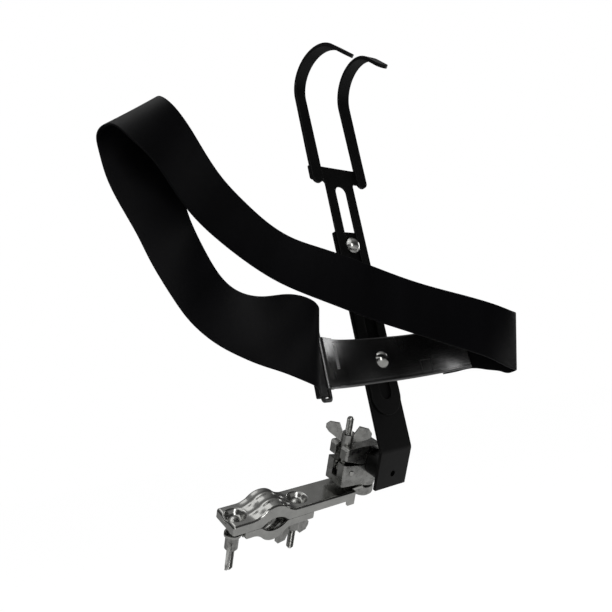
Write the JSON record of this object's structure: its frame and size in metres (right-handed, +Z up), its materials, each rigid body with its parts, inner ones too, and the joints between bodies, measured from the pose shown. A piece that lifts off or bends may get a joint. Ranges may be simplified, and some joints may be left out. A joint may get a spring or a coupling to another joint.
{
  "type": "djembe holder with stand clamp",
  "caption": "Slotted bar with two rim hooks, a curved pad and a looped webbing strap that holds a hand drum, on a swivelling grip and a two-jaw clamp for a stand tube.",
  "frame": {"origin": "middle of the two jaws that grip the stand's tube", "axes": "+Z up along the slotted bar, -Y towards the drum, +X from the clamp's nose towards the bar; the clamp leans 31.4 degrees with the bar's bent foot"},
  "size_m": [0.3183, 0.1627, 0.4022],
  "materials": {
    "powder_coat": "satin black powder coat",
    "chrome": "bright plating",
    "zinc_steel": "zinc plated",
    "pad_leather": "smooth black, slightly glossy",
    "webbing": "black woven ribbon with a satin sheen",
    "ring_plastic": "moulded black"
  },
  "bodies": {
    "arm": {"clamp_arm": "chrome", "outer_bolt": "chrome", "inner_bolt": "chrome"},
    "grip": {"grip_lower_jaw": "chrome", "grip_bolt": "chrome", "grip_pin": "chrome", "pivot_bolt": "chrome", "pivot_cup": "chrome"},
    "grip_cap": {"grip_upper_jaw": "chrome"},
    "grip_nut": {"grip_wing_nut": "chrome"},
    "bar": {"rear_bar": "powder_coat", "stub_tube": "powder_coat", "upper_bolt": "chrome", "lower_bolt": "chrome", "upper_washer": "zinc_steel", "lower_washer": "zinc_steel", "upper_nut": "zinc_steel", "lower_nut": "zinc_steel", "pad": "pad_leather", "strap_ring": "ring_plastic", "ring_tab": "pad_leather", "strap": "webbing"},
    "plate": {"hook_plate": "powder_coat", "hook_left": "powder_coat", "hook_right": "powder_coat"},
    "jaw": {"clamp_jaw": "chrome"},
    "outer_nut": {"outer_wing_nut": "chrome"},
    "inner_nut": {"inner_wing_nut": "chrome"}
  },
  "joints": [
    {"name": "arm_swivel", "type": "hinge", "parent": "arm", "child": "grip", "pos_m": [0.098, -0.00385, 0.00632], "axis": [0, -0.521, 0.8536], "range_deg": [-180, 180]},
    {"name": "grip_turn", "type": "hinge", "parent": "grip", "child": "bar", "pos_m": [0.098, -0.01532, 0.02509], "axis": [0, 0.8536, 0.521], "range_deg": [-30, 30]},
    {"name": "plate_slide", "type": "slide", "parent": "bar", "child": "plate", "axis": [0, 0, 1], "range_m": [-0.05, 0.027]},
    {"name": "grip_open", "type": "slide", "parent": "grip", "child": "grip_cap", "axis": [0, -0.521, 0.8536], "range_m": [0, 0.006]},
    {"name": "grip_nut_spin", "type": "hinge", "parent": "grip_cap", "child": "grip_nut", "pos_m": [0.0725, -0.02183, 0.03576], "axis": [0, -0.521, 0.8536], "continuous": true},
    {"name": "clamp_open", "type": "slide", "parent": "arm", "child": "jaw", "axis": [0, 0.521, -0.8536], "range_m": [0, 0.015]},
    {"name": "outer_nut_spin", "type": "hinge", "parent": "jaw", "child": "outer_nut", "pos_m": [-0.028, 0.00365, -0.00598], "axis": [0, -0.521, 0.8536], "continuous": true},
    {"name": "inner_nut_spin", "type": "hinge", "parent": "jaw", "child": "inner_nut", "pos_m": [0.028, 0.00365, -0.00598], "axis": [0, -0.521, 0.8536], "continuous": true}
  ]
}
